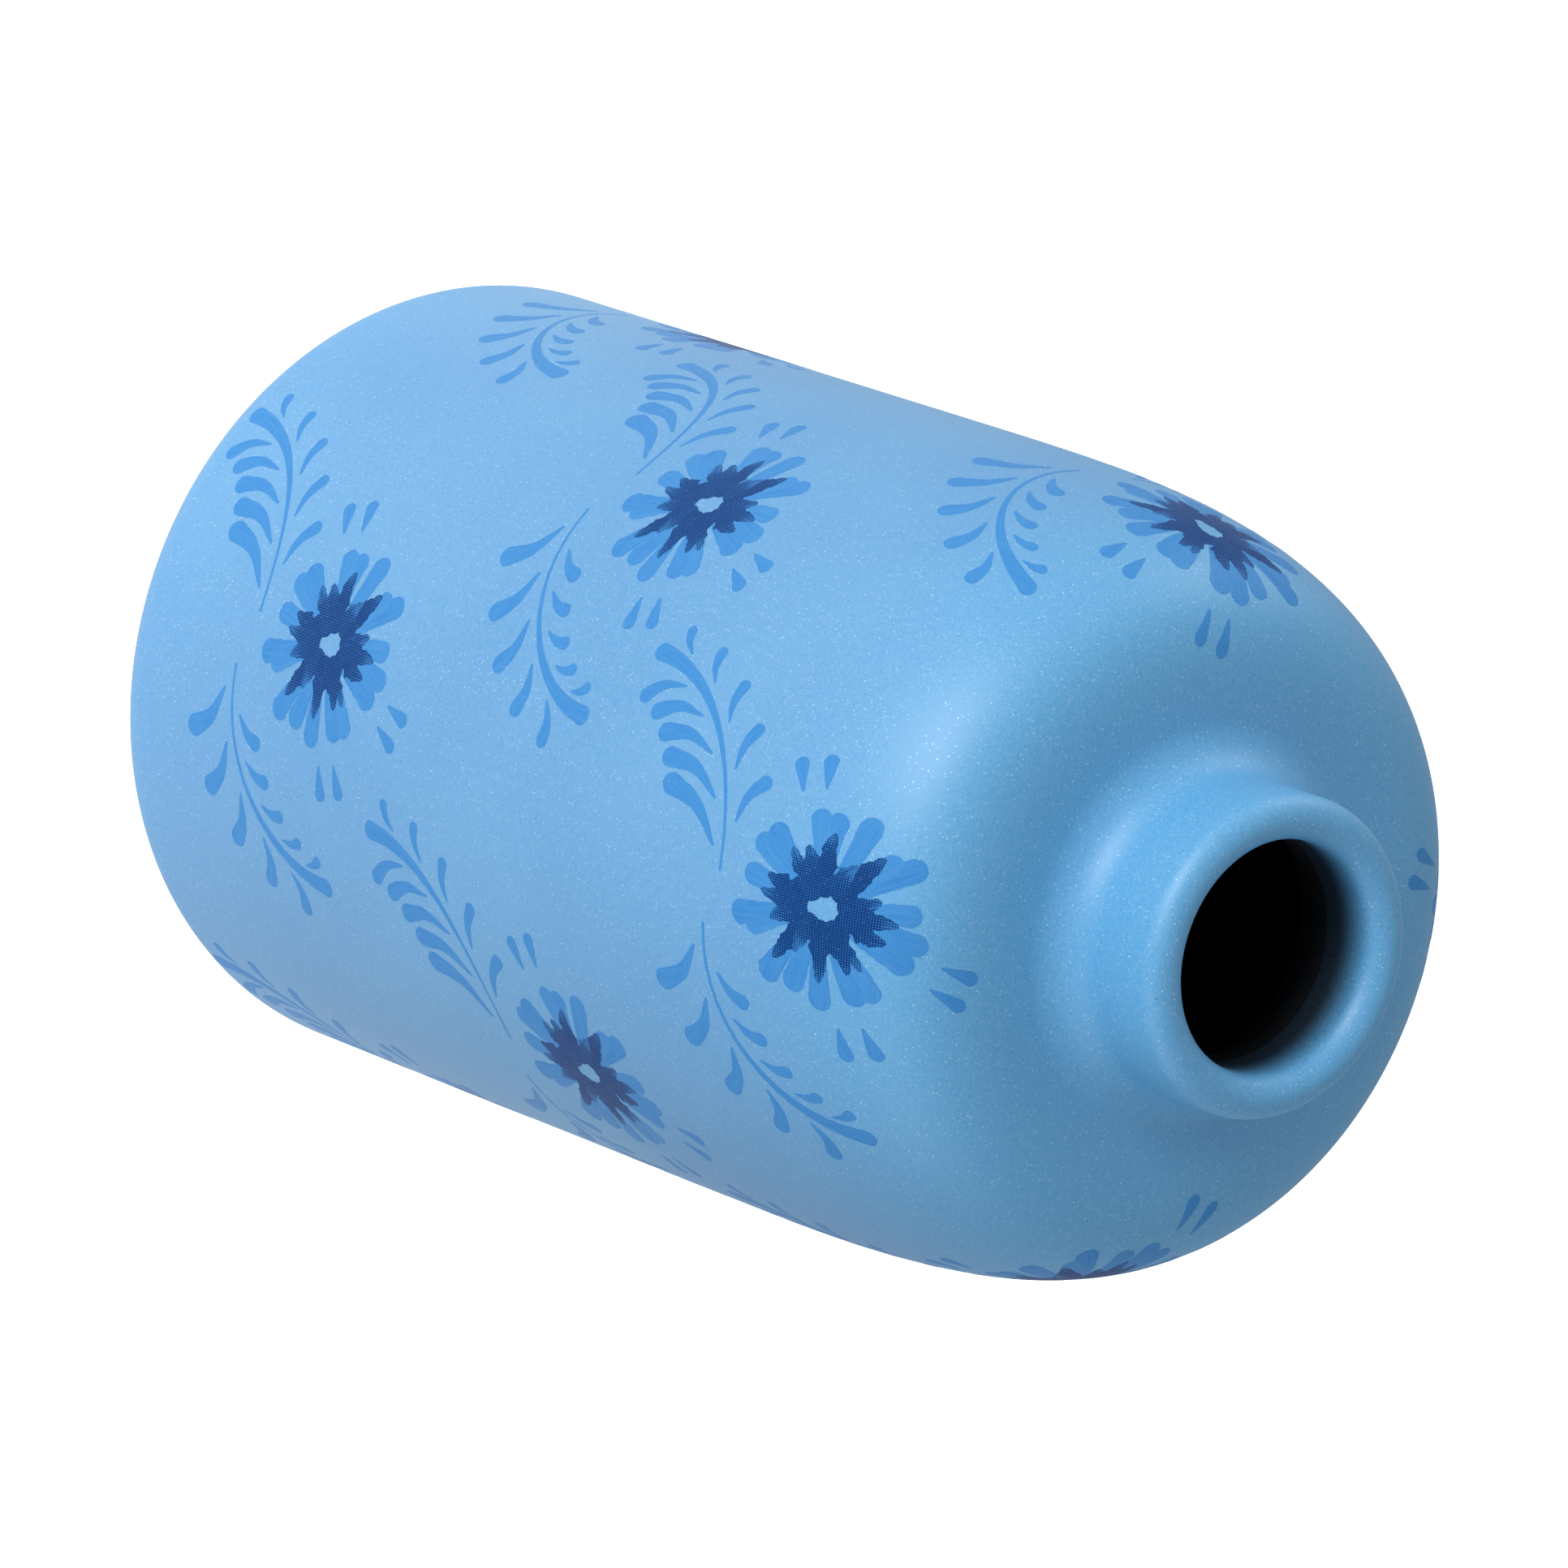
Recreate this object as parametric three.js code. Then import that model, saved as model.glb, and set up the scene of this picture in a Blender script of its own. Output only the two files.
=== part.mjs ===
// A slip-cast ceramic bottle vase: the clay wall, the glaze that lines it, the speckled glaze that covers it,
// and the flower prints fired on to that glaze. Millimetres, +Z up, origin at the centre of the foot's plane.
import * as THREE from "three";

// The outside of the glazed vase
const HEIGHT = 172.5;
const BODY_RADIUS = 50;
const BASE_CORNER = 8;
const SHOULDER_START = 90;
const SHOULDER_SQUARENESS = 3.5;
const NECK_RADIUS = 19.75;
const NECK_FILLET = 6;
const SHOULDER_TOP = 156.4;

// The wall, glaze to glaze, and its layers
const WALL = 5.5;
const GLAZE = 0.5;
const HAIRLINE = 0.05;
const FLOOR_LEVEL = 7;
const INNER_CORNER = 6;

// The bare foot ring under the base
const FOOT_OUTER = 43.5;
const FOOT_INNER = 37;
const FOOT_RECESS = 1.2;
const FOOT_CHAMFER = 0.8;

// Where the outer glaze and the bare clay end at the base, in degrees round its corner
const GLAZE_EDGE_ANGLE = -40;
const BARE_CLAY_ANGLE = -60;

// Where the outer glaze meets the liner glaze in the throat
const THROAT_LEVEL = 163.3;
const THROAT_GAP = 0.1;

// The prints: rows of one motif, laid by hand round the vase and stepped sideways from row to row.
// A turn is in degrees round the axis, from -Y towards +X.
const PRINT_ROWS = [
  { name: "low", height: 44.2, turns: [3, 93, 176, -86] },
  { name: "middle", height: 93.3, turns: [-35, 55, 144, -131] },
  { name: "high", height: 143, turns: [15.5, 106, 195.5, -80.5] },
];
const PRINT_LIFT = 0.3;
const PRINT_THICKNESS = 0.15;
const PRINT_COLUMNS = 10;
const PRINT_ROW_GAP = 1;

// The area that one print covers, as [height, left edge, right edge] from the middle of its flower
const PRINT_AREA = [
  [-37, -27, 12.5],
  [-30, -32.3, 13],
  [-25.5, -32.5, 18],
  [-23, -32, 22.5],
  [-20.5, -31.5, 28],
  [-18, -30, 33.5],
  [-15.5, -27.5, 37.5],
  [-13, -24.5, 38.5],
  [-4, -23.5, 38.5],
  [4, -17, 34],
  [6.5, -16, 28],
  [9, -15, 22],
  [12, -13.5, 14],
  [14.5, -8, 13],
  [17, -2.5, 12],
  [19.8, 3, 11.5],
];

// Smoothness
const SEGMENTS = 36;
const ARC_STEPS = 3;
const SHOULDER_STEPS = 8;

const LIP_RADIUS = WALL / 2;
const LIP_CENTRE = new THREE.Vector2(NECK_RADIUS - LIP_RADIUS, HEIGHT - LIP_RADIUS);
const FILLET_CENTRE = new THREE.Vector2(NECK_RADIUS + NECK_FILLET, SHOULDER_TOP + NECK_FILLET);
const BASE_CENTRE = new THREE.Vector2(BODY_RADIUS - BASE_CORNER, BASE_CORNER);
const INNER_BASE_CENTRE = new THREE.Vector2(BODY_RADIUS - WALL - INNER_CORNER, FLOOR_LEVEL + INNER_CORNER);

const outerGlazeMaterial = new THREE.MeshStandardMaterial({ color: 0x74aae0, roughness: 0.5, metalness: 0 });
const linerGlazeMaterial = new THREE.MeshStandardMaterial({ color: 0x0b131c, roughness: 0.45, metalness: 0 });
const clayMaterial = new THREE.MeshStandardMaterial({ color: 0xe6e1d8, roughness: 0.9, metalness: 0 });
const printMaterial = new THREE.MeshStandardMaterial({ color: 0x2f86cf, roughness: 0.45, metalness: 0 });

// Points on a circular arc of the profile, with the angles in degrees
function arc(centre, radius, from, to) {
  return Array.from({ length: ARC_STEPS + 1 }, (_, i) => {
    const angle = THREE.MathUtils.degToRad(from + ((to - from) * i) / ARC_STEPS);
    return new THREE.Vector2(centre.x + radius * Math.cos(angle), centre.y + radius * Math.sin(angle));
  });
}

// The shoulder's curve, a quarter of a superellipse, from the straight side up to the neck's fillet
function shoulder(depth) {
  const width = BODY_RADIUS - FILLET_CENTRE.x - depth;
  const rise = SHOULDER_TOP - SHOULDER_START - depth;
  return Array.from({ length: SHOULDER_STEPS + 1 }, (_, i) => {
    const angle = (Math.PI / 2) * (i / SHOULDER_STEPS);
    const out = Math.max(Math.cos(angle), 0) ** (2 / SHOULDER_SQUARENESS);
    const up = Math.sin(angle) ** (2 / SHOULDER_SQUARENESS);
    return new THREE.Vector2(FILLET_CENTRE.x + width * out, SHOULDER_START + rise * up);
  });
}

// The profile that lies a given depth under the outside, from the base corner to the crown of the lip
function outside(depth, baseAngle) {
  return [
    ...arc(BASE_CENTRE, BASE_CORNER - depth, baseAngle, 0),
    ...shoulder(depth),
    ...arc(FILLET_CENTRE, NECK_FILLET + depth, 270, 180).slice(1),
    ...arc(LIP_CENTRE, LIP_RADIUS - depth, 0, 90),
  ];
}

// The profile a given depth behind the throat's face, from the crown of the lip down to a level
function throat(depth, level) {
  return [
    ...arc(LIP_CENTRE, LIP_RADIUS - depth, 90, 180).slice(1),
    new THREE.Vector2(LIP_CENTRE.x - LIP_RADIUS + depth, level),
  ];
}

// The profile a given depth behind the cavity's face, from a level in the throat to the middle of the floor
function cavity(depth, level) {
  return [
    new THREE.Vector2(LIP_CENTRE.x - LIP_RADIUS + depth, level),
    ...arc(FILLET_CENTRE, NECK_FILLET + WALL - depth, 180, 225),
    ...arc(FILLET_CENTRE, NECK_FILLET + WALL - depth, 225, 270).slice(1),
    ...shoulder(WALL - depth).reverse().slice(1),
    ...arc(INNER_BASE_CENTRE, INNER_CORNER + depth, 0, -90),
    new THREE.Vector2(0, FLOOR_LEVEL - depth),
  ];
}

// A named solid turned round the vase's axis from its profile
function turned(name, profile, material) {
  const geometry = new THREE.LatheGeometry(profile, SEGMENTS).rotateX(Math.PI / 2);
  const mesh = new THREE.Mesh(geometry, material);
  mesh.name = name;
  return mesh;
}

// The clay wall with its floor, and the bare foot ring round a shallow recess
function clayBody() {
  const depth = GLAZE + HAIRLINE;
  return turned(
    "clay_body",
    [
      new THREE.Vector2(0, FOOT_RECESS),
      new THREE.Vector2(FOOT_INNER - FOOT_CHAMFER, FOOT_RECESS),
      new THREE.Vector2(FOOT_INNER, 0),
      new THREE.Vector2(FOOT_OUTER, 0),
      arc(BASE_CENTRE, BASE_CORNER - depth, BARE_CLAY_ANGLE, 0)[0],
      ...outside(depth, GLAZE_EDGE_ANGLE),
      ...throat(depth, THROAT_LEVEL),
      ...cavity(depth, THROAT_LEVEL).slice(1),
    ],
    clayMaterial,
  );
}

// The coloured glaze: up the outside, over the lip and down the throat
function outerGlaze() {
  const face = [...outside(0, GLAZE_EDGE_ANGLE), ...throat(0, THROAT_LEVEL)];
  const back = [...outside(GLAZE, GLAZE_EDGE_ANGLE), ...throat(GLAZE, THROAT_LEVEL)];
  return turned("outer_glaze", [...face, ...back.reverse(), face[0].clone()], outerGlazeMaterial);
}

// The glaze that lines the cavity and makes it hold water
function linerGlaze() {
  const face = cavity(0, THROAT_LEVEL - THROAT_GAP);
  const back = cavity(GLAZE, THROAT_LEVEL - THROAT_GAP);
  return turned("liner_glaze", [...back.reverse(), ...face], linerGlazeMaterial);
}

// The outside as a measured line, so that a print can be laid along it: from the base corner's foot upwards
const measuredLine = (() => {
  const points = outside(0, GLAZE_EDGE_ANGLE);
  const wallStart = points.findIndex((p) => p.x === BODY_RADIUS);
  const lengths = [0];
  for (let i = 1; i < points.length; i++) {
    lengths.push(lengths[i - 1] + points[i].distanceTo(points[i - 1]));
  }
  const offset = points[wallStart].y - lengths[wallStart];
  return points.map((p, i) => ({ radius: p.x, level: p.y, along: lengths[i] + offset }));
})();

// Radius, level and outward direction of the outside, at a distance along its line
function outsideAt(along) {
  const next = measuredLine.findIndex((p, i) => i > 0 && p.along >= along);
  const a = measuredLine[next - 1];
  const b = measuredLine[next];
  const share = (along - a.along) / (b.along - a.along);
  const slope = new THREE.Vector2(b.level - a.level, a.radius - b.radius).normalize();
  return {
    radius: THREE.MathUtils.lerp(a.radius, b.radius, share),
    level: THREE.MathUtils.lerp(a.level, b.level, share),
    slope,
  };
}

// A point of a print: across and up from the middle of its flower, lifted off the glaze
function printPoint(row, turn, across, up, lift) {
  const { radius, level, slope } = outsideAt(row.height + up);
  const angle = THREE.MathUtils.degToRad(turn) + across / radius;
  const r = radius + slope.x * lift;
  return new THREE.Vector3(r * Math.sin(angle), -r * Math.cos(angle), level + slope.y * lift);
}

// The left and right edges of a print at a height above the middle of its flower
function printEdges(up) {
  const next = Math.max(PRINT_AREA.findIndex(([height]) => height >= up), 1);
  const [low, lowLeft, lowRight] = PRINT_AREA[next - 1];
  const [high, highLeft, highRight] = PRINT_AREA[next];
  const share = (up - low) / (high - low);
  return [THREE.MathUtils.lerp(lowLeft, highLeft, share), THREE.MathUtils.lerp(lowRight, highRight, share)];
}

// The heights at which a print is drawn: its area's own, and wherever the outside bends under it
function printHeights(row) {
  const own = PRINT_AREA.map(([up]) => up);
  const bends = measuredLine.map((p) => p.along - row.height);
  const inside = bends.filter((up) => up > own[0] && up < own.at(-1));
  const spaced = own.slice(1, -1).filter((up) => inside.every((bend) => Math.abs(bend - up) > PRINT_ROW_GAP));
  return [own[0], ...spaced, ...inside, own.at(-1)].sort((a, b) => a - b);
}

// The points of a print: its inner face row by row, then its outer face
function printPoints(row, turn, heights) {
  const points = [];
  for (const lift of [PRINT_LIFT, PRINT_LIFT + PRINT_THICKNESS]) {
    for (const up of heights) {
      const [left, right] = printEdges(up);
      for (let j = 0; j <= PRINT_COLUMNS; j++) {
        const across = THREE.MathUtils.lerp(left, right, j / PRINT_COLUMNS);
        points.push(printPoint(row, turn, across, up, lift));
      }
    }
  }
  return points;
}

// The faces that close a print's points into a thin shell, each quad split along its shorter diagonal
function printFaces(points, last) {
  const width = PRINT_COLUMNS + 1;
  const layer = (last + 1) * width;
  const faces = [];
  const at = (i, j, side) => side * layer + i * width + j;
  const quad = (a, b, c, d) => {
    if (points[a].distanceTo(points[c]) < points[b].distanceTo(points[d])) {
      faces.push(a, b, c, a, c, d);
    } else {
      faces.push(a, b, d, b, c, d);
    }
  };
  for (let i = 0; i < last; i++) {
    for (let j = 0; j < PRINT_COLUMNS; j++) {
      quad(at(i, j, 1), at(i, j + 1, 1), at(i + 1, j + 1, 1), at(i + 1, j, 1));
      quad(at(i, j, 0), at(i + 1, j, 0), at(i + 1, j + 1, 0), at(i, j + 1, 0));
    }
    quad(at(i, 0, 0), at(i, 0, 1), at(i + 1, 0, 1), at(i + 1, 0, 0));
    const end = PRINT_COLUMNS;
    quad(at(i, end, 0), at(i + 1, end, 0), at(i + 1, end, 1), at(i, end, 1));
  }
  for (let j = 0; j < PRINT_COLUMNS; j++) {
    quad(at(0, j, 0), at(0, j + 1, 0), at(0, j + 1, 1), at(0, j, 1));
    quad(at(last, j, 0), at(last, j, 1), at(last, j + 1, 1), at(last, j + 1, 0));
  }
  return faces;
}

// One print as a thin closed shell on the glaze
function flowerPrint(row, index) {
  const heights = printHeights(row);
  const points = printPoints(row, row.turns[index], heights);
  const faces = printFaces(points, heights.length - 1);
  const geometry = new THREE.BufferGeometry().setFromPoints(points).setIndex(faces);
  geometry.computeVertexNormals();
  const mesh = new THREE.Mesh(geometry, printMaterial);
  mesh.name = `flower_print_${row.name}_${index + 1}`;
  return mesh;
}

const vase = new THREE.Group();
vase.add(clayBody(), outerGlaze(), linerGlaze());
for (const row of PRINT_ROWS) {
  for (let index = 0; index < row.turns.length; index++) {
    vase.add(flowerPrint(row, index));
  }
}

export default vase;
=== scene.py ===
"""A light-blue bottle vase with screened flower prints, standing on a white studio floor."""
import math

import bpy
from mathutils import Matrix, Vector, noise


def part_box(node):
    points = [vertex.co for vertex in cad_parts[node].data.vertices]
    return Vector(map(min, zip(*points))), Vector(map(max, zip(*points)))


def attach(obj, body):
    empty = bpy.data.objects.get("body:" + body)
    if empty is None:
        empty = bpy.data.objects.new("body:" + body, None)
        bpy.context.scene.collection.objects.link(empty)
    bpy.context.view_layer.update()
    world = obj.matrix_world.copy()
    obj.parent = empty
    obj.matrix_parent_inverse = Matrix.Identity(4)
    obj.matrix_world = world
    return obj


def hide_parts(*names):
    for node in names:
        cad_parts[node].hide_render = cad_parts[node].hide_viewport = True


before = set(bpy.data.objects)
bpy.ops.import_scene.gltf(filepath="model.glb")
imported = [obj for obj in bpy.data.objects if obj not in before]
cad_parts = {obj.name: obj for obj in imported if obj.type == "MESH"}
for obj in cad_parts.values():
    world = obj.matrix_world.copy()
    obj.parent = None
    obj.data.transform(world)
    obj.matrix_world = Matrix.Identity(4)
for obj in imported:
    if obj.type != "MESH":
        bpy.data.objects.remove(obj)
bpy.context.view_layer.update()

MM = 0.001

# The glazed vase: its overall sizes are the frame's, and the rest are the curves of its outline
BODY_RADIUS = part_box("outer_glaze")[1].x
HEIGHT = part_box("outer_glaze")[1].z
BASE_CORNER = 8 * MM
SHOULDER_START = 90 * MM
SHOULDER_SQUARENESS = 3.5
NECK_RADIUS = 19.75 * MM
NECK_FILLET = 6 * MM
SHOULDER_TOP = 156.4 * MM

# The wall and its layers
WALL = 5.5 * MM
GLAZE = 0.5 * MM
HAIRLINE = 0.05 * MM
FLOOR_LEVEL = 7 * MM
INNER_CORNER = 6 * MM

# The bare foot ring under the base
FOOT_OUTER = 43.5 * MM
FOOT_INNER = 37 * MM
FOOT_RECESS = 1.2 * MM
FOOT_CHAMFER = 0.8 * MM
FOOT_ROUNDING = 0.5 * MM

# Where the outer glaze and the bare clay end at the base, in degrees round its corner
GLAZE_EDGE_ANGLE = -40
BARE_CLAY_ANGLE = -60

# Where the outer glaze meets the liner glaze in the throat
THROAT_LEVEL = 163.3 * MM
THROAT_GAP = 0.1 * MM

# How finely the turned pieces are cut
TURNING_STEPS = 256
CORNER_STEPS = 12
SHOULDER_STEPS = 44
THROAT_STEPS = 6
ROUNDING_STEPS = 4
WELD = 0.005 * MM

LIP_RADIUS = WALL / 2
LIP_CENTRE = Vector((NECK_RADIUS - LIP_RADIUS, HEIGHT - LIP_RADIUS))
FILLET_CENTRE = Vector((NECK_RADIUS + NECK_FILLET, SHOULDER_TOP + NECK_FILLET))
BASE_CENTRE = Vector((BODY_RADIUS - BASE_CORNER, BASE_CORNER))
INNER_BASE_CENTRE = Vector((BODY_RADIUS - WALL - INNER_CORNER, FLOOR_LEVEL + INNER_CORNER))

# The prints, row by row: the height of the flower's heart along the outside, the turns round the vase in
# degrees from -Y towards +X, and how the shoulder's curve draws the print in and stretches it upwards
PRINT_ROWS = {
    "low": {"height": 44.2 * MM, "turns": (3, 93, 176, -86), "draw": 1.0, "stretch": 1.0},
    "middle": {"height": 93.3 * MM, "turns": (-35, 55, 144, -131), "draw": 1.0, "stretch": 1.0},
    "high": {"height": 143 * MM, "turns": (15.5, 106, 195.5, -80.5), "draw": 0.95, "stretch": 1.08},
}

# A plain folk flower with two leafy sprigs, set out by rule. Its petals and dark marks stand evenly round
# the heart, and vary in turns by a share of their reach and width, in millimetres, and of their load
OUTER_PETALS = {"count": 18, "reach": 12.5, "width": 3.0, "load": 0.50, "varied": 0.08}
DARK_MARKS = {"count": 16, "reach": 8.6, "width": 1.9, "load": 0.95, "varied": 0.18}
SWING_STEP = 2.4
LOAD_SWING = 0.06
TURN_SWING = 6

# The two stems, each a quarter of an ellipse: its middle, how far it runs across and how far up, and the
# share of the leaves' full size that it carries. Then the leaves above and under a stem, with how far they
# lean away from it, where they start and stop along it, and how much smaller and narrower the last would be
STEMS = {
    "left": {"middle": (-1, -37), "across": -24, "up": 21.5, "size": 1.0},
    "right": {"middle": (6, 3), "across": 25, "up": -20.5, "size": 0.8},
}
STEM_WIDTH = 2.5
LEAF_GAP = 1.6
LEAVES = (
    {"count": 5, "side": 1, "reach": 8.0, "width": 2.2, "lean": 42},
    {"count": 5, "side": -1, "reach": 12.5, "width": 3.0, "lean": 52},
)
LEAF_START = 0.08
LEAF_SPAN = 0.84
LEAF_SHRINK = 0.55
LEAF_NARROWING = 0.4

# Pairs of drops round the flower: the direction of each pair, how far out it starts, and a drop's length
DROPS = {"directions": (66, 14, 199), "start": 15, "length": 4.5, "width": 2.0, "spread": 6}

# In millimetres: the bare heart's radius, how unevenly the dark marks reach into it, where the outer petals
# start, how much wider than its listed width each dark mark is laid, and how far a petal bows to one side
HEART_RADIUS = 1.3
HEART_UNEVENNESS = 0.8
PETAL_ROOT = 3.2
DARK_SPREAD = 1.2
PETAL_BOW = 0.35

SPRIG_LOAD = 0.5

# How finely a mark is cut along and across, the share of its cuts that go into its round head, and the least
# share of its length that lies before the head
MARK_STEPS = 24
MARK_ROWS = 6
HEAD_SHARE = 0.4
LEAST_BELLY = 0.45

# The broad and the fine unevenness of a mark's edge, in waves to the metre, and the share of the fine one
BROAD_EDGE = 1100
FINE_EDGE = 3600
FINE_SHARE = 0.6

# How high the marks lie over the glaze, and how thick they are
BASE_LIFT = 0.02 * MM
LAYER_LIFT = 0.003 * MM
MARK_THICKNESS = 0.03 * MM

# How each kind of mark is brushed: its width at the tail against its belly, how late it swells, its ragged
# edge, and the layers it is laid in, one after another
PETAL_BRUSH = {"tail": 0.45, "swell": 0.9, "ragged": 0.10, "layers": (0, 1, 2)}
SPRIG_BRUSH = {"tail": 0.12, "swell": 0.9, "ragged": 0.08, "layers": (0,)}
STEM_BRUSH = {"tail": 0.16, "swell": 2.4, "ragged": 0.06, "layers": (1,)}
DARK_BRUSH = {"tail": 0.10, "swell": 0.6, "ragged": 0.5, "layers": (3, 4, 5)}


# ---------------------------------------------------------------- camera, floor and light

CAMERA_LENS = 280.8
CAMERA_DISTANCE = 1.5148
CAMERA_ELEVATION = 49.83
CAMERA_ROLL = 109.54
AIM_HEIGHT = 75.6 * MM

# The floor's glow under and round the vase, as strengths at a near and a far distance from the middle
GLOW_NEAR = (60 * MM, 0.6)
GLOW_FAR = (170 * MM, 0.15)

# The strength of the surroundings: what lights the vase, and what is added for the plain white backdrop
ROOM_LIGHT = 0.43
BACKDROP_LIGHT = 0.67

LAMP_DISTANCE = 1.2
COOL_WHITE = (0.82, 0.93, 1)


def point_camera():
    """A long lens that looks down on the vase, rolled so that the mouth is at the lower right."""
    elevation = math.radians(CAMERA_ELEVATION)
    back = Vector((0, -math.cos(elevation), math.sin(elevation)))
    bpy.ops.object.camera_add(location=Vector((0, 0, AIM_HEIGHT)) + back * CAMERA_DISTANCE)
    camera = bpy.context.object
    camera.name = "studio_camera"
    camera.data.lens = CAMERA_LENS
    camera.data.sensor_width = 36
    camera.data.clip_start = 0.05
    camera.data.clip_end = 20
    upright = (-back).to_track_quat("-Z", "Y").to_matrix()
    camera.rotation_euler = (upright @ Matrix.Rotation(math.radians(CAMERA_ROLL), 3, "Z")).to_euler()
    bpy.context.scene.camera = camera


def lay_floor():
    """A white floor lit from under its sheet, so that it shows no shadow, and clear from below."""
    bpy.ops.mesh.primitive_plane_add(size=8, location=(0, 0, -0.1 * MM))
    floor = bpy.context.object
    floor.name = "studio_floor"
    material = bpy.data.materials.new("white light table")
    material.use_nodes = True
    tree = material.node_tree
    shader = tree.nodes["Principled BSDF"]
    shader.inputs["Base Color"].default_value = (0.5, 0.5, 0.5, 1)
    shader.inputs["Roughness"].default_value = 0.9
    shader.inputs["Emission Color"].default_value = (1, 1, 1, 1)
    seen = add(tree, "ShaderNodeLightPath").outputs["Is Camera Ray"]
    place = add(tree, "ShaderNodeTexCoord").outputs["Object"]
    reach = add(tree, "ShaderNodeVectorMath", operation="LENGTH", inputs={0: place}).outputs["Value"]
    glow = within(tree, reach, GLOW_NEAR[0], GLOW_FAR[0], GLOW_NEAR[1], GLOW_FAR[1])
    tree.links.new(math_node(tree, "ADD", glow, seen), shader.inputs["Emission Strength"])
    clear = tree.nodes.new("ShaderNodeBsdfTransparent").outputs[0]
    below = tree.nodes.new("ShaderNodeNewGeometry").outputs["Backfacing"]
    inputs = {0: below, 1: shader.outputs[0], 2: clear}
    sheet = add(tree, "ShaderNodeMixShader", inputs=inputs).outputs[0]
    tree.links.new(sheet, tree.nodes["Material Output"].inputs["Surface"])
    floor.data.materials.append(material)


def softbox(name, azimuth, elevation, width, height, power, colour=(1, 1, 1)):
    """A soft rectangular lamp that faces the vase. Azimuth is in degrees from -Y towards +X."""
    turn, rise = math.radians(azimuth), math.radians(elevation)
    way = Vector((math.sin(turn) * math.cos(rise), -math.cos(turn) * math.cos(rise), math.sin(rise)))
    bpy.ops.object.light_add(type="AREA", location=Vector((0, 0, HEIGHT / 2)) + way * LAMP_DISTANCE)
    lamp = bpy.context.object
    lamp.name = name
    lamp.data.shape = "RECTANGLE"
    lamp.data.size = width
    lamp.data.size_y = height
    lamp.data.energy = power
    lamp.data.color = colour
    lamp.rotation_euler = (-way).to_track_quat("-Z", "Y").to_euler()


def light_studio():
    """White surroundings, a key lamp at the front left, a cool bounce board right and a rim lamp left."""
    world = bpy.data.worlds.new("white studio")
    world.use_nodes = True
    tree = world.node_tree
    tree.nodes["Background"].inputs["Color"].default_value = (1, 1, 1, 1)
    seen = add(tree, "ShaderNodeLightPath").outputs["Is Camera Ray"]
    strength = math_node(tree, "MULTIPLY_ADD", seen, BACKDROP_LIGHT, ROOM_LIGHT)
    tree.links.new(strength, tree.nodes["Background"].inputs["Strength"])
    bpy.context.scene.world = world
    softbox("key_softbox", azimuth=-22, elevation=16, width=0.6, height=0.45, power=10)
    softbox("bounce_board", azimuth=70, elevation=15, width=1.2, height=0.8, power=3.1, colour=COOL_WHITE)
    softbox("rim_lamp", azimuth=-110, elevation=8, width=0.5, height=0.5, power=2.5)
    bpy.context.scene.view_settings.view_transform = "Standard"


# ---------------------------------------------------------------- the outline


def arc(centre, radius, start, end):
    """Points on an arc of the outline, with its angles in degrees."""
    points = []
    for step in range(CORNER_STEPS + 1):
        angle = math.radians(start + (end - start) * step / CORNER_STEPS)
        points.append(centre + radius * Vector((math.cos(angle), math.sin(angle))))
    return points


def shoulder(depth):
    """The shoulder's curve, a quarter of a superellipse, from the straight side up to the neck's fillet."""
    width = BODY_RADIUS - FILLET_CENTRE.x - depth
    rise = SHOULDER_TOP - SHOULDER_START - depth
    points = []
    for step in range(SHOULDER_STEPS + 1):
        angle = math.pi / 2 * step / SHOULDER_STEPS
        out = max(math.cos(angle), 0) ** (2 / SHOULDER_SQUARENESS)
        up = math.sin(angle) ** (2 / SHOULDER_SQUARENESS)
        points.append(Vector((FILLET_CENTRE.x + width * out, SHOULDER_START + rise * up)))
    return points


def outside(depth, base_angle):
    """The outline a given depth under the outside, from the base corner to the crown of the lip."""
    return (
        arc(BASE_CENTRE, BASE_CORNER - depth, base_angle, 0)
        + shoulder(depth)
        + arc(FILLET_CENTRE, NECK_FILLET + depth, 270, 180)[1:]
        + arc(LIP_CENTRE, LIP_RADIUS - depth, 0, 90)
    )


def throat(depth, level):
    """The outline a given depth behind the throat's face, from the crown of the lip down to a level."""
    radius = LIP_CENTRE.x - LIP_RADIUS + depth
    drop = level - LIP_CENTRE.y
    points = arc(LIP_CENTRE, LIP_RADIUS - depth, 90, 180)[1:]
    for step in range(1, THROAT_STEPS + 1):
        points.append(Vector((radius, LIP_CENTRE.y + drop * step / THROAT_STEPS)))
    return points


def cavity(depth, level):
    """The outline a given depth behind the cavity's face, from a level in the throat to mid-floor."""
    return (
        [Vector((LIP_CENTRE.x - LIP_RADIUS + depth, level))]
        + arc(FILLET_CENTRE, NECK_FILLET + WALL - depth, 180, 225)
        + arc(FILLET_CENTRE, NECK_FILLET + WALL - depth, 225, 270)[1:]
        + shoulder(WALL - depth)[::-1][1:]
        + arc(INNER_BASE_CENTRE, INNER_CORNER + depth, 0, -90)
        + [Vector((0, FLOOR_LEVEL - depth))]
    )


def measured_outside():
    """The outside as (distance along it, radius, level); on the straight side the distance is the level."""
    points = outside(0, GLAZE_EDGE_ANGLE)
    lengths = [0.0]
    for before, after in zip(points, points[1:]):
        lengths.append(lengths[-1] + (after - before).length)
    offset = SHOULDER_START - lengths[CORNER_STEPS + 1]
    return [(length + offset, point.x, point.y) for length, point in zip(lengths, points)]


# ---------------------------------------------------------------- modelling


def deselect_all():
    """Object mode, with nothing selected."""
    if bpy.context.mode != "OBJECT":
        bpy.ops.object.mode_set(mode="OBJECT")
    bpy.ops.object.select_all(action="DESELECT")


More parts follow.
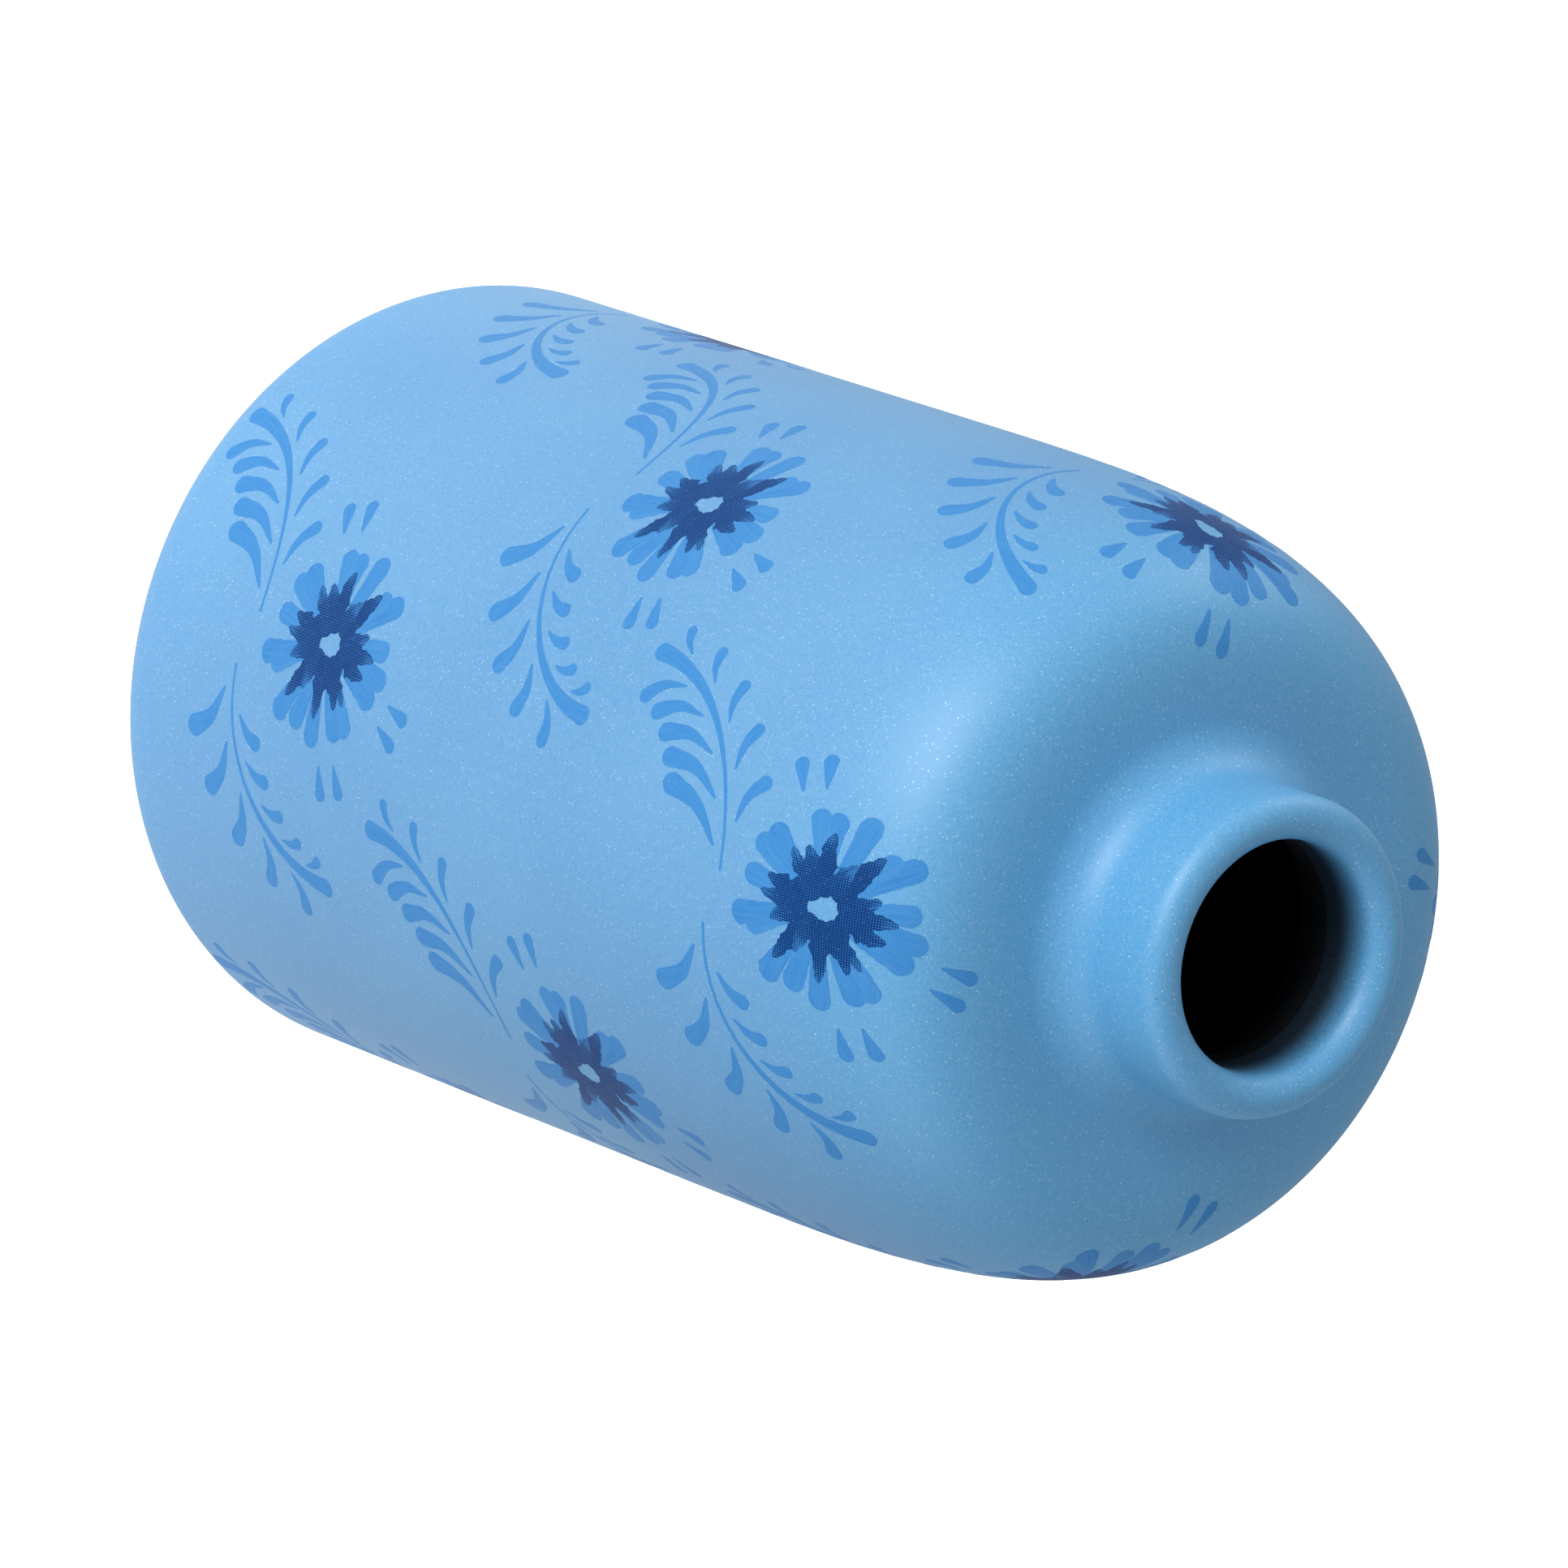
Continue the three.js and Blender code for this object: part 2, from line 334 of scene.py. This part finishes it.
def turned(name, outline):
    """A piece spun round the vase's axis from its half outline, drawn by extruding one point along it."""
    deselect_all()
    start = outline[0]
    bpy.ops.mesh.primitive_plane_add(size=MM, location=(start.x, 0, start.y))
    piece = bpy.context.object
    piece.name = name
    piece.data.name = name
    bpy.ops.object.transform_apply(location=True)
    bpy.ops.object.mode_set(mode="EDIT")
    bpy.ops.mesh.merge(type="CENTER")
    for before, after in zip(outline, outline[1:]):
        step = (after.x - before.x, 0, after.y - before.y)
        bpy.ops.mesh.extrude_region_move(TRANSFORM_OT_translate={"value": step})
    bpy.ops.mesh.select_all(action="SELECT")
    bpy.ops.mesh.spin(steps=TURNING_STEPS, angle=2 * math.pi, center=(0, 0, 0), axis=(0, 0, 1))
    bpy.ops.mesh.select_all(action="SELECT")
    bpy.ops.mesh.remove_doubles(threshold=WELD)
    bpy.ops.mesh.normals_make_consistent(inside=False)
    bpy.ops.object.mode_set(mode="OBJECT")
    bpy.ops.object.shade_smooth_by_angle(angle=math.radians(40))
    return piece


def finish_piece(piece, node, material):
    """Puts a piece in place of its CAD node, on the vase's one body, with its material."""
    piece.data.materials.clear()
    piece.data.materials.append(material)
    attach(piece, "root")
    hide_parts(node)


def rounded(corner, before, after, radius):
    """A corner of the outline cut back by a radius each way and rounded with a short arc of points."""
    start = corner + (before - corner).normalized() * radius
    end = corner + (after - corner).normalized() * radius
    points = []
    for step in range(ROUNDING_STEPS + 1):
        share = step / ROUNDING_STEPS
        points.append(start * (1 - share) ** 2 + corner * 2 * share * (1 - share) + end * share ** 2)
    return points


def make_clay_body(material):
    """The clay wall and floor, with a softened foot ring wiped round a shallow recess."""
    depth = GLAZE + HAIRLINE
    recess = Vector((FOOT_INNER - FOOT_CHAMFER, FOOT_RECESS))
    inner, outer = Vector((FOOT_INNER, 0)), Vector((FOOT_OUTER, 0))
    bare = arc(BASE_CENTRE, BASE_CORNER - depth, BARE_CLAY_ANGLE, GLAZE_EDGE_ANGLE)
    outline = (
        [Vector((0, FOOT_RECESS))]
        + rounded(recess, Vector((0, FOOT_RECESS)), inner, FOOT_ROUNDING)
        + rounded(inner, recess, outer, FOOT_ROUNDING)
        + rounded(outer, inner, bare[0], FOOT_ROUNDING)
        + bare[:-1]
        + outside(depth, GLAZE_EDGE_ANGLE)
        + throat(depth, THROAT_LEVEL)
        + cavity(depth, THROAT_LEVEL)[1:]
    )
    finish_piece(turned("vase_clay", outline), "clay_body", material)


def make_outer_glaze(material):
    """The coloured glaze up the outside, over the lip and down the throat, as a thin closed shell."""
    face = outside(0, GLAZE_EDGE_ANGLE) + throat(0, THROAT_LEVEL)
    back = outside(GLAZE, GLAZE_EDGE_ANGLE) + throat(GLAZE, THROAT_LEVEL)
    outline = face + back[::-1] + face[:1]
    finish_piece(turned("vase_blue_glaze", outline), "outer_glaze", material)


def make_liner(material):
    """The dark glaze that lines the cavity, as a thin closed shell."""
    edge = THROAT_LEVEL - THROAT_GAP
    outline = cavity(GLAZE, edge)[::-1] + cavity(0, edge)
    finish_piece(turned("vase_liner_glaze", outline), "liner_glaze", material)


# ---------------------------------------------------------------- the flower prints


def smooth_path(points, share):
    """A place and its direction on the smooth curve through some points, at a share of its length."""
    last = len(points) - 1
    at = min(share * last, last - 1e-6)
    index = int(at)
    t = at - index
    b, c = points[index], points[index + 1]
    a = points[index - 1] if index > 0 else b * 2 - c
    d = points[index + 2] if index + 2 <= last else c * 2 - b
    slope, bend, twist = c - a, a * 2 - b * 5 + c * 4 - d, b * 3 - a - c * 3 + d
    place = (b * 2 + slope * t + bend * t ** 2 + twist * t ** 3) / 2
    way = slope + bend * 2 * t + twist * 3 * t ** 2
    return place, way.normalized()


def path_length(points):
    """The length of a path, leg by leg."""
    return sum((after - before).length for before, after in zip(points, points[1:]))


def brush_mark(points, width, load, brush, turn):
    """One flat brush mark: a grid drawn along its path, thin at the tail and round at the head.

    It lies in the XY plane in metres, and Z is its height over the glaze. The print map keeps its place in
    the print, the brush map its place in the mark, and load says how much colour it carries.
    """
    points = [Vector(point) * MM for point in points]
    width = width * MM
    length = path_length(points)
    belly = max(1 - width / 2 / length, LEAST_BELLY)
    bpy.ops.mesh.primitive_grid_add(x_subdivisions=MARK_STEPS, y_subdivisions=MARK_ROWS, size=1)
    mark = bpy.context.object
    mesh = mark.data
    tail, swell = brush["tail"], brush["swell"]
    lift = BASE_LIFT + LAYER_LIFT * brush["layers"][turn % len(brush["layers"])]
    stroke = {}
    for vertex in mesh.vertices:
        along, across = vertex.co.x + 0.5, vertex.co.y * 2
        if along < 1 - HEAD_SHARE:
            grown = along / (1 - HEAD_SHARE)
            share = belly * grown
            half = tail + (1 - tail) * grown ** swell
        else:
            angle = (along - 1 + HEAD_SHARE) / HEAD_SHARE * math.pi / 2
            share = belly + (1 - belly) * math.sin(angle)
            half = math.cos(angle)
        place, way = smooth_path(points, share)
        broad = noise.noise(Vector((place.x * BROAD_EDGE, place.y * BROAD_EDGE, across * 0.9 + turn)))
        fine = noise.noise(Vector((place.x * FINE_EDGE, place.y * FINE_EDGE, across * 0.9 - turn)))
        edge = 1 + brush["ragged"] * (broad + FINE_SHARE * fine)
        side = Vector((-way.y, way.x)) * across * half * width / 2 * edge
        vertex.co = (place.x + side.x, place.y + side.y, lift)
        stroke[vertex.index] = (share * length / MM, across * width / 2 / MM)
    print_map = mesh.uv_layers.new(name="print map")
    brush_map = mesh.uv_layers.new(name="brush map")
    colour = mesh.attributes.new("load", "FLOAT", "POINT")
    for loop in mesh.loops:
        co = mesh.vertices[loop.vertex_index].co
        print_map.data[loop.index].uv = (co.x / MM, co.y / MM)
        along, across = stroke[loop.vertex_index]
        brush_map.data[loop.index].uv = (along, across + 7 * turn)
    for entry in colour.data:
        entry.value = load
    return mark


def petal_points(direction, reach, root):
    """A petal's path from its root to its tip, bowed a little to one side."""
    way = Vector((math.cos(math.radians(direction)), math.sin(math.radians(direction))))
    side = Vector((-way.y, way.x))
    bow = PETAL_BOW * math.sin(direction * 1.7)
    return [way * root, way * (root + reach) / 2 + side * bow, way * reach]


def ring_marks(ring):
    """Evenly spaced marks round the heart, by turns long and short, as (direction, reach, width, load)."""
    marks = []
    for index in range(ring["count"]):
        swing = math.sin(index * SWING_STEP)
        direction = index * 360 / ring["count"] + TURN_SWING * swing
        reach = ring["reach"] * (1 + ring["varied"] * ((-1) ** index + swing) / 2)
        width = ring["width"] * (1 + ring["varied"] * swing)
        marks.append((direction, reach, width, ring["load"] * (1 + LOAD_SWING * swing)))
    return marks


def stem_points(stem, start, end, steps):
    """Points on a stem's quarter ellipse, between two shares of it."""
    points = []
    for step in range(steps + 1):
        angle = math.pi / 2 * (start + (end - start) * step / steps)
        across = stem["middle"][0] + stem["across"] * math.sin(angle)
        up = stem["middle"][1] + stem["up"] * math.cos(angle)
        points.append(Vector((across, up)))
    return points


def leaf_paths(stem, leaves):
    """The leaves on one side of a stem, as (path, width), smaller towards its tip."""
    paths = []
    hand = leaves["side"] * math.copysign(1, stem["across"])
    for index in range(leaves["count"]):
        share = LEAF_START + LEAF_SPAN * (index + 0.5 * (leaves["side"] > 0)) / leaves["count"]
        root, ahead = stem_points(stem, share, share + 0.02, 1)
        way = (ahead - root).normalized()
        side = Vector((-way.y, way.x)) * hand
        size = stem["size"] * (1 - LEAF_SHRINK * share)
        reach, lean = leaves["reach"] * size, math.radians(leaves["lean"])
        start = root + side * LEAF_GAP
        middle = start + (way * math.cos(lean * 0.7) + side * math.sin(lean * 0.7)) * reach / 2
        tip = start + (way * math.cos(lean) + side * math.sin(lean)) * reach
        paths.append(([start, middle, tip], leaves["width"] * (1 - LEAF_NARROWING * share)))
    return paths


def drop_paths():
    """Pairs of drops that point away from the heart."""
    paths = []
    for direction in DROPS["directions"]:
        for spread in (-DROPS["spread"], DROPS["spread"]):
            angle = math.radians(direction + spread)
            way = Vector((math.cos(angle), math.sin(angle)))
            paths.append(([way * DROPS["start"], way * (DROPS["start"] + DROPS["length"])], DROPS["width"]))
    return paths


def flat_flower_print():
    """The whole print laid flat: outer petals, sprigs and stems first, then the dark marks over them."""
    marks = []
    for direction, reach, width, load in ring_marks(OUTER_PETALS):
        path = petal_points(direction, reach, PETAL_ROOT)
        marks.append(brush_mark(path, width, load, PETAL_BRUSH, len(marks)))
    sprigs = drop_paths()
    for stem in STEMS.values():
        for leaves in LEAVES:
            sprigs += leaf_paths(stem, leaves)
    for path, width in sprigs:
        marks.append(brush_mark(path, width, SPRIG_LOAD, SPRIG_BRUSH, len(marks)))
    for stem in STEMS.values():
        path = stem_points(stem, 0.0, 1.0, 8)
        marks.append(brush_mark(path, STEM_WIDTH, SPRIG_LOAD, STEM_BRUSH, len(marks)))
    for direction, reach, width, load in ring_marks(DARK_MARKS):
        root = HEART_RADIUS + HEART_UNEVENNESS * math.sin(direction * 0.9) ** 2
        path = petal_points(direction, reach, root)[::-1]
        marks.append(brush_mark(path, width + DARK_SPREAD, load, DARK_BRUSH, len(marks)))
    deselect_all()
    for mark in marks:
        mark.select_set(True)
    bpy.context.view_layer.objects.active = marks[0]
    bpy.ops.object.join()
    flat = bpy.context.object
    bpy.ops.object.mode_set(mode="EDIT")
    bpy.ops.mesh.select_all(action="SELECT")
    bpy.ops.mesh.remove_doubles(threshold=0.0002 * MM)
    bpy.ops.mesh.normals_make_consistent(inside=False)
    bpy.ops.object.mode_set(mode="OBJECT")
    return flat


def lay_on_glaze(mesh, row, turn, outside_line):
    """Moves a flat print's points to their places on the glaze, across the vase and up along its outside."""
    lengths = [entry[0] for entry in outside_line]
    for vertex in mesh.vertices:
        along = row["height"] + vertex.co.y * row["stretch"]
        after = next(i for i, length in enumerate(lengths) if length >= along)
        before = after - 1
        share = (along - lengths[before]) / (lengths[after] - lengths[before])
        radius = outside_line[before][1] * (1 - share) + outside_line[after][1] * share
        level = outside_line[before][2] * (1 - share) + outside_line[after][2] * share
        rise = outside_line[after][2] - outside_line[before][2]
        fall = outside_line[before][1] - outside_line[after][1]
        out = Vector((rise, fall)).normalized() * vertex.co.z
        angle = math.radians(turn) + vertex.co.x * row["draw"] / radius
        reach = radius + out.x
        vertex.co = (reach * math.sin(angle), -reach * math.cos(angle), level + out.y)


def make_flower_prints(material):
    """Twelve prints in three rows, each a copy of the flat one laid on the glaze."""
    flat = flat_flower_print()
    outside_line = measured_outside()
    for row_name, row in PRINT_ROWS.items():
        for index, turn in enumerate(row["turns"], start=1):
            deselect_all()
            flat.select_set(True)
            bpy.context.view_layer.objects.active = flat
            bpy.ops.object.duplicate(linked=False)
            piece = bpy.context.object
            piece.name = f"painted_flower_{row_name}_{index}"
            piece.data.name = piece.name
            lay_on_glaze(piece.data, row, turn, outside_line)
            solid = piece.modifiers.new("paint thickness", "SOLIDIFY")
            solid.thickness = MARK_THICKNESS
            solid.offset = -1
            bpy.ops.object.modifier_apply(modifier=solid.name)
            bpy.ops.object.shade_smooth_by_angle(angle=math.radians(40))
            finish_piece(piece, f"flower_print_{row_name}_{index}", material)
    bpy.data.objects.remove(flat)


# ---------------------------------------------------------------- materials

# The glaze, its deeper shifts, its less red, more teal tone up the shoulder, and its pale and dark specks
GLAZE_BLUE = (0.108, 0.345, 0.64, 1)
GLAZE_DEEP = (0.094, 0.318, 0.615, 1)
GLAZE_SHOULDER_TEAL = (0.080, 0.350, 0.655, 1)
GLAZE_PALE = (0.42, 0.66, 0.88, 1)
GLAZE_DARK = (0.05, 0.14, 0.26, 1)

# The prints' colour, from a thin wash to a full load
WASH_BLUE = (0.070, 0.29, 0.63, 1)
MIDDLE_BLUE = (0.042, 0.235, 0.585, 1)
NAVY = (0.001, 0.042, 0.19, 1)

# The painted shade that darkens the blue glaze down the throat, and the liner's two tones further in
THROAT_SHADE_DARK = (0.003, 0.008, 0.018, 1)
LINER_BLACK = (0.0025, 0.0035, 0.006, 1)
LINER_BLUE = (0.005, 0.008, 0.014, 1)

# The bare clay's two tones and its pits
CLAY_DEEP = (0.62, 0.57, 0.49, 1)
CLAY_PALE = (0.72, 0.68, 0.60, 1)
CLAY_PIT = (0.25, 0.18, 0.12, 1)

# Between these levels the glaze turns less red and more teal up the shoulder
SHOULDER_TEAL_LEVELS = (128 * MM, 156 * MM)

# The pitch in millimetres of the cloth mesh that the prints are screened through
MESH_PITCH = 0.33


def add(tree, kind, **settings):
    """A node of a kind in a node tree, with its settings, and its inputs as a dictionary named inputs."""
    node = tree.nodes.new(kind)
    inputs = settings.pop("inputs", {})
    for name, value in settings.items():
        setattr(node, name, value)
    for name, value in inputs.items():
        if isinstance(value, bpy.types.NodeSocket):
            tree.links.new(value, node.inputs[name])
        else:
            node.inputs[name].default_value = value
    return node


def math_node(tree, operation, first, second=0.0, third=0.0):
    """The result of an arithmetic node on two or three sockets or numbers."""
    return add(tree, "ShaderNodeMath", operation=operation, inputs={0: first, 1: second, 2: third}).outputs[0]


def within(tree, value, low, high, to_low=0.0, to_high=1.0):
    """A value's smooth passage from to_low at low to to_high at high."""
    inputs = {"Value": value, "From Min": low, "From Max": high, "To Min": to_low, "To Max": to_high}
    return add(tree, "ShaderNodeMapRange", interpolation_type="SMOOTHSTEP", inputs=inputs).outputs["Result"]


def mixed(tree, factor, first, second):
    """Two colours mixed by a factor."""
    node = tree.nodes.new("ShaderNodeMix")
    node.data_type = "RGBA"
    for name, value in {"Factor": factor, "A": first, "B": second}.items():
        socket = next(s for s in node.inputs if s.name == name and (s.type == "RGBA" or name == "Factor"))
        if isinstance(value, bpy.types.NodeSocket):
            tree.links.new(value, socket)
        else:
            socket.default_value = value
    return next(s for s in node.outputs if s.type == "RGBA")


def specks_group():
    """Mineral specks: pale ones, sparser dark ones, and an all-over grain, by the place in metres."""
    tree = bpy.data.node_groups.new("mineral specks", "ShaderNodeTree")
    face = tree.interface
    face.new_socket("Place", in_out="INPUT", socket_type="NodeSocketVector")
    for name, value in {"Pale": 0.42 * MM, "Dark": 4 * MM, "Grain": 0.35 * MM}.items():
        spacing = face.new_socket(f"{name} Spacing", in_out="INPUT", socket_type="NodeSocketFloat")
        spacing.default_value = value
    for name in ("Pale", "Dark", "Grain"):
        face.new_socket(name, in_out="OUTPUT", socket_type="NodeSocketFloat")
    given = tree.nodes.new("NodeGroupInput").outputs
    result = tree.nodes.new("NodeGroupOutput").inputs
    for name, size, share in (("Pale", 0.25, 0.65), ("Dark", 0.035, 0.35)):
        scale = math_node(tree, "DIVIDE", 1.0, given[f"{name} Spacing"])
        cells = add(tree, "ShaderNodeTexVoronoi", inputs={"Vector": given["Place"], "Scale": scale})
        parts = add(tree, "ShaderNodeSeparateColor", inputs={"Color": cells.outputs["Color"]}).outputs
        radius = math_node(tree, "MULTIPLY", parts["Green"], size)
        chosen = math_node(tree, "LESS_THAN", parts["Red"], share)
        spot = math_node(tree, "LESS_THAN", cells.outputs["Distance"], radius)
        tree.links.new(math_node(tree, "MULTIPLY", chosen, spot), result[name])
    scale = math_node(tree, "DIVIDE", 1.0, given["Grain Spacing"])
    grain = add(tree, "ShaderNodeTexNoise", inputs={"Vector": given["Place"], "Scale": scale, "Detail": 2.0})
    tree.links.new(grain.outputs[0], result["Grain"])
    return tree


def new_material(name):
    """A material with its shader and the place on the piece that its patterns read."""
    material = bpy.data.materials.new(name)
    material.use_nodes = True
    tree = material.node_tree
    shader = tree.nodes["Principled BSDF"]
    place = add(tree, "ShaderNodeTexCoord").outputs["Object"]
    return material, tree, shader, place


def glaze_colour(tree, place, specks):
    """The blue glaze's colour, with slow shifts of tone, and less red, more teal up the shoulder towards the
    neck.
    """
    drift = add(tree, "ShaderNodeTexNoise", inputs={"Vector": place, "Scale": 22.0, "Detail": 2.0}).outputs[0]
    colour = mixed(tree, within(tree, drift, 0.35, 0.65), GLAZE_BLUE, GLAZE_DEEP)
    level = add(tree, "ShaderNodeSeparateXYZ", inputs={"Vector": place}).outputs["Z"]
    colour = mixed(tree, within(tree, level, *SHOULDER_TEAL_LEVELS), colour, GLAZE_SHOULDER_TEAL)
    grain = within(tree, specks.outputs["Grain"], 0.3, 0.75, 0.0, 0.16)
    return mixed(tree, grain, colour, GLAZE_PALE)


def speckle_over(tree, colour, specks, pale_share, dark_share):
    """Pale and dark specks laid over a colour."""
    pale = math_node(tree, "MULTIPLY", specks.outputs["Pale"], pale_share)
    colour = mixed(tree, pale, colour, GLAZE_PALE)
    dark = math_node(tree, "MULTIPLY", specks.outputs["Dark"], dark_share)
    return mixed(tree, dark, colour, GLAZE_DARK)


def satin_surface(tree, shader, specks, place, roughness):
    """A satin glaze's roughness and its fine pebbled surface, with glossier specks."""
    rough = within(tree, specks.outputs["Grain"], 0.3, 0.7, roughness - 0.05, roughness + 0.05)
    rough = math_node(tree, "SUBTRACT", rough, math_node(tree, "MULTIPLY", specks.outputs["Pale"], 0.18))
    tree.links.new(rough, shader.inputs["Roughness"])
    ripple = add(tree, "ShaderNodeTexNoise", inputs={"Vector": place, "Scale": 900.0, "Detail": 3.0})
    inputs = {"Strength": 0.25, "Distance": 0.06 * MM, "Height": ripple.outputs[0]}
    bump = add(tree, "ShaderNodeBump", inputs=inputs)
    tree.links.new(bump.outputs["Normal"], shader.inputs["Normal"])


def painted_throat_shade(tree, place):
    """Painted shade: how far the blue glaze is darkened towards the bottom of the throat, down inside the
    mouth only.
    """
    parts = add(tree, "ShaderNodeSeparateXYZ", inputs={"Vector": place}).outputs
    flat = add(tree, "ShaderNodeVectorMath", operation="MULTIPLY", inputs={0: place, 1: (1, 1, 0)})
    radius = add(tree, "ShaderNodeVectorMath", operation="LENGTH", inputs={0: flat.outputs[0]})
    inside = math_node(tree, "LESS_THAN", radius.outputs["Value"], LIP_CENTRE.x)
    depth = within(tree, parts["Z"], HEIGHT - 0.6 * MM, THROAT_LEVEL + 2 * MM, 0.0, 0.97)
    return math_node(tree, "MULTIPLY", inside, depth)


def blue_glaze_material(group):
    """Light-blue satin-matt glaze with fine specks, and painted shade down inside the throat."""
    material, tree, shader, place = new_material("light blue speckled glaze")
    specks = add(tree, "ShaderNodeGroup", node_tree=group, inputs={"Place": place})
    colour = speckle_over(tree, glaze_colour(tree, place, specks), specks, 0.8, 0.8)
    # Painted shade: the blue glaze is darkened down inside the throat, where little light reaches
    colour = mixed(tree, painted_throat_shade(tree, place), colour, THROAT_SHADE_DARK)
    tree.links.new(colour, shader.inputs["Base Color"])
    satin_surface(tree, shader, specks, place, 0.52)
    shader.inputs["Specular IOR Level"].default_value = 0.85
    return material


def weave_mask(tree, print_map):
    """The cloth-like mesh that a print shows where its colour is thin."""
    parts = add(tree, "ShaderNodeSeparateXYZ", inputs={"Vector": print_map}).outputs
    threads = []
    for name in ("X", "Y"):
        wave = math_node(tree, "SINE", math_node(tree, "MULTIPLY", parts[name], 2 * math.pi / MESH_PITCH))
        threads.append(within(tree, wave, -0.2, 1.0))
    return math_node(tree, "MULTIPLY", *threads)


def dry_tips(tree, brush_map, streak, load):
    """How much colour is missing in streaks at the start of a heavily loaded mark."""
    start = add(tree, "ShaderNodeSeparateXYZ", inputs={"Vector": brush_map}).outputs["X"]
    fade = within(tree, start, 0.3, 4.0, 0.3, 0.0)
    dry = math_node(tree, "MULTIPLY", fade, within(tree, streak, 0.35, 0.6))
    return math_node(tree, "MULTIPLY", dry, within(tree, load, 0.6, 0.9))


def print_material(group):
    """Flower colour screened on to the glaze: a wash, a middle blue and a navy, by each mark's load."""
    material, tree, shader, place = new_material("screened flower blue")
    specks = add(tree, "ShaderNodeGroup", node_tree=group, inputs={"Place": place})
    print_map = add(tree, "ShaderNodeUVMap", uv_map="print map").outputs["UV"]
    brush_map = add(tree, "ShaderNodeUVMap", uv_map="brush map").outputs["UV"]
    load = add(tree, "ShaderNodeAttribute", attribute_name="load").outputs["Fac"]
    stretch = add(tree, "ShaderNodeMapping", inputs={"Vector": brush_map, "Scale": (0.25, 2.2, 1)})
    inputs = {"Vector": stretch.outputs["Vector"], "Scale": 1.0, "Detail": 3.0}
    streak = add(tree, "ShaderNodeTexNoise", inputs=inputs).outputs[0]
    weave_share = math_node(tree, "MULTIPLY_ADD", load, 0.3, 0.09)
    weave = math_node(tree, "MULTIPLY", weave_mask(tree, print_map), weave_share)
    missing = math_node(tree, "ADD", weave, dry_tips(tree, brush_map, streak, load))
    load = math_node(tree, "ADD", load, within(tree, streak, 0.3, 0.7, -0.06, 0.05))
    load = math_node(tree, "SUBTRACT", load, missing)
    ramp = add(tree, "ShaderNodeValToRGB", inputs={"Fac": load})
    stops = ramp.color_ramp.elements
    stops[0].position, stops[0].color = 0.0, GLAZE_BLUE
    stops[1].position, stops[1].color = 0.80, NAVY
    for position, colour in ((0.35, WASH_BLUE), (0.55, MIDDLE_BLUE)):
        stops.new(position).color = colour
    colour = speckle_over(tree, ramp.outputs["Color"], specks, 0.14, 0.5)
    tree.links.new(colour, shader.inputs["Base Color"])
    satin_surface(tree, shader, specks, place, 0.45)
    shader.inputs["Specular IOR Level"].default_value = 0.14
    return material


def liner_material(group):
    """Thin dark glaze inside."""
    material, tree, shader, place = new_material("dark liner glaze")
    specks = add(tree, "ShaderNodeGroup", node_tree=group, inputs={"Place": place, "Pale Spacing": 2 * MM})
    drift = add(tree, "ShaderNodeTexNoise", inputs={"Vector": place, "Scale": 60.0, "Detail": 3.0}).outputs[0]
    colour = mixed(tree, within(tree, drift, 0.3, 0.7), LINER_BLACK, LINER_BLUE)
    pale = math_node(tree, "MULTIPLY", specks.outputs["Pale"], 0.05)
    colour = mixed(tree, pale, colour, GLAZE_DARK)
    tree.links.new(colour, shader.inputs["Base Color"])
    satin_surface(tree, shader, specks, place, 0.6)
    return material


def clay_material(group):
    """Bare fired clay, pale, dry and finely pitted."""
    material, tree, shader, place = new_material("bare fired clay")
    inputs = {"Place": place, "Pale Spacing": 1.5 * MM, "Dark Spacing": 2.5 * MM}
    specks = add(tree, "ShaderNodeGroup", node_tree=group, inputs=inputs)
    drift = add(tree, "ShaderNodeTexNoise", inputs={"Vector": place, "Scale": 90.0, "Detail": 4.0}).outputs[0]
    colour = mixed(tree, within(tree, drift, 0.3, 0.7), CLAY_DEEP, CLAY_PALE)
    dark = math_node(tree, "MULTIPLY", specks.outputs["Dark"], 0.6)
    colour = mixed(tree, dark, colour, CLAY_PIT)
    tree.links.new(colour, shader.inputs["Base Color"])
    satin_surface(tree, shader, specks, place, 0.85)
    return material


# ---------------------------------------------------------------- the scene

point_camera()
lay_floor()
light_studio()
specks = specks_group()
make_clay_body(clay_material(specks))
make_outer_glaze(blue_glaze_material(specks))
make_liner(liner_material(specks))
make_flower_prints(print_material(specks))
